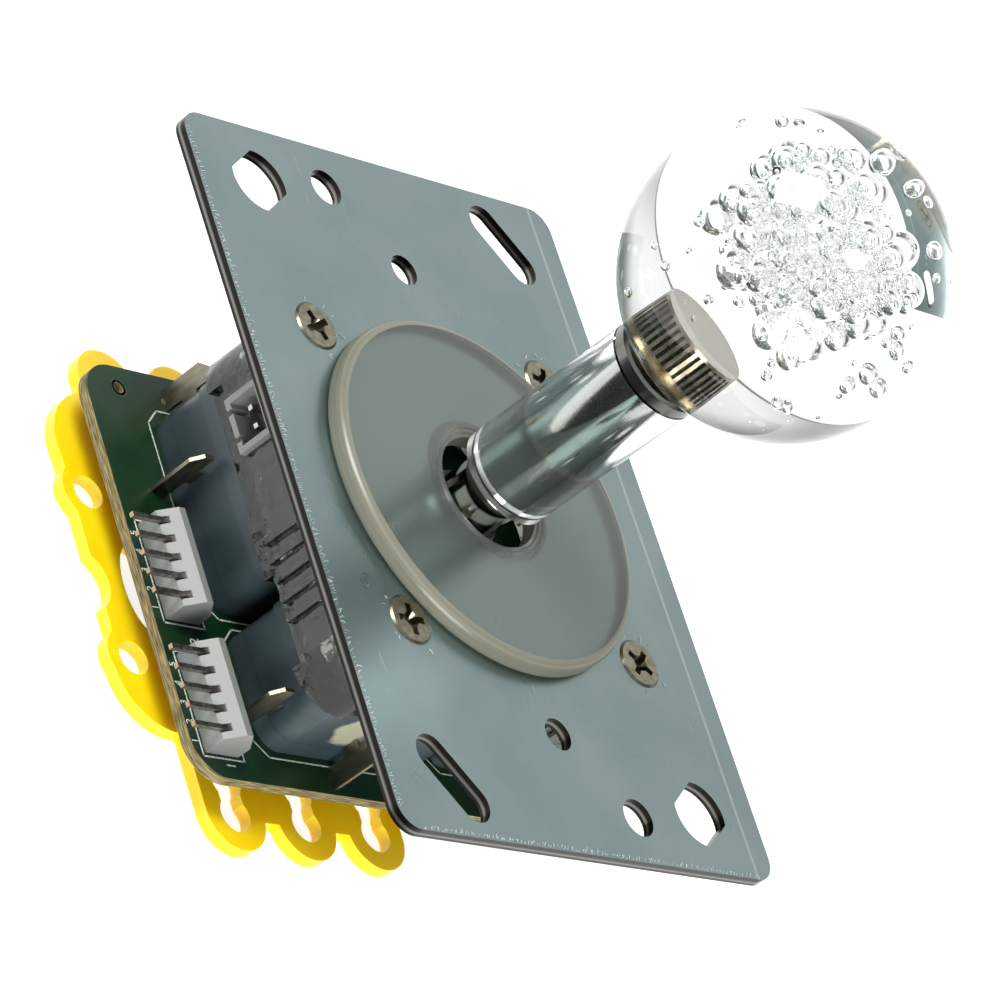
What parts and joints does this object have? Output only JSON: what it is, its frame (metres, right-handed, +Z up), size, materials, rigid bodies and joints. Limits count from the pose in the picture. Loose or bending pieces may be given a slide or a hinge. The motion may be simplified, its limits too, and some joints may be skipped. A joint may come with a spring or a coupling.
{
  "type": "arcade joystick lever",
  "caption": "Clear ball-top arcade joystick lever on a zinc plate, with sprung pivot, microswitches, circuit board, pin headers and yellow restrictor.",
  "frame": {"origin": "centre of the mounting plate's top face, on the upright lever's axis", "axes": "+Z up the lever towards the ball, +Y along the plate's long side, +X along its short side, away from the pin headers"},
  "size_m": [0.0704, 0.097, 0.1027],
  "materials": {
    "zinc_plate": "blue-grey zinc plating, satin",
    "nickel_screws": "nickel plated, slightly dull",
    "clear_acrylic": "clear cast acrylic, polished",
    "clear_polycarbonate": "clear moulded polycarbonate, smoky in shadow",
    "chromed_steel": "polished chrome",
    "acetal": "moulded natural acetal",
    "spring_steel": "drawn wire and sheet",
    "green_circuit_board": "solder mask over glass fibre",
    "slate_nylon": "moulded dark blue-grey nylon",
    "red_plunger": "moulded plastic",
    "tinned_brass": "tinned, dull bronze",
    "white_nylon": "translucent white nylon",
    "tinned_pins": "tinned",
    "yellow_plastic": "bright yellow moulding",
    "lamp_resin": "milky resin"
  },
  "bodies": {
    "base": {"mounting_plate": "zinc_plate", "plate_screws": "nickel_screws", "dust_disc": "clear_acrylic", "clear_housing": "clear_polycarbonate", "led_board": "green_circuit_board", "leds": "lamp_resin", "led_header_shell": "white_nylon", "led_header_pins": "tinned_pins", "switch_board": "green_circuit_board", "pin_header_body_a": "white_nylon", "pin_header_body_b": "white_nylon", "pin_header_pins_a": "tinned_pins", "pin_header_pins_b": "tinned_pins", "restrictor_gate": "yellow_plastic", "spring_washer": "spring_steel", "switch_case_left": "slate_nylon", "switch_terminals_left": "tinned_brass", "switch_case_front": "slate_nylon", "switch_terminals_front": "tinned_brass", "switch_case_right": "slate_nylon", "switch_terminals_right": "tinned_brass", "switch_case_rear": "slate_nylon", "switch_terminals_rear": "tinned_brass"},
    "tilt_carrier": {"centring_spring": "spring_steel"},
    "lever": {"pivot_ball": "acetal", "actuator": "acetal", "retaining_clip": "spring_steel", "lever_shaft": "chromed_steel", "clear_sleeve": "clear_acrylic", "ferrule_ring": "chromed_steel", "knurled_insert": "chromed_steel", "ball_top": "clear_acrylic"},
    "plunger_left": {"switch_plunger_left": "red_plunger"},
    "plunger_front": {"switch_plunger_front": "red_plunger"},
    "plunger_right": {"switch_plunger_right": "red_plunger"},
    "plunger_rear": {"switch_plunger_rear": "red_plunger"}
  },
  "joints": [
    {"name": "lever_tilt_x", "type": "hinge", "parent": "base", "child": "tilt_carrier", "pos_m": [0, 0, -0.006], "axis": [1, 0, 0], "range_deg": [-8, 8], "stiffness_Nm_per_rad": 0.6, "deforming": ["centring_spring"]},
    {"name": "lever_tilt_y", "type": "hinge", "parent": "tilt_carrier", "child": "lever", "pos_m": [0, 0, -0.006], "axis": [0, 1, 0], "range_deg": [-8, 8], "stiffness_Nm_per_rad": 0.6},
    {"name": "plunger_left_press", "type": "slide", "parent": "base", "child": "plunger_left", "axis": [-1, 0, 0], "range_m": [0, 0.00075], "stiffness_N_per_m": 300, "springref_m": -0.001},
    {"name": "plunger_front_press", "type": "slide", "parent": "base", "child": "plunger_front", "axis": [0, -1, 0], "range_m": [0, 0.00075], "stiffness_N_per_m": 300, "springref_m": -0.001},
    {"name": "plunger_right_press", "type": "slide", "parent": "base", "child": "plunger_right", "axis": [1, 0, 0], "range_m": [0, 0.00075], "stiffness_N_per_m": 300, "springref_m": -0.001},
    {"name": "plunger_rear_press", "type": "slide", "parent": "base", "child": "plunger_rear", "axis": [0, 1, 0], "range_m": [0, 0.00075], "stiffness_N_per_m": 300, "springref_m": -0.001}
  ]
}
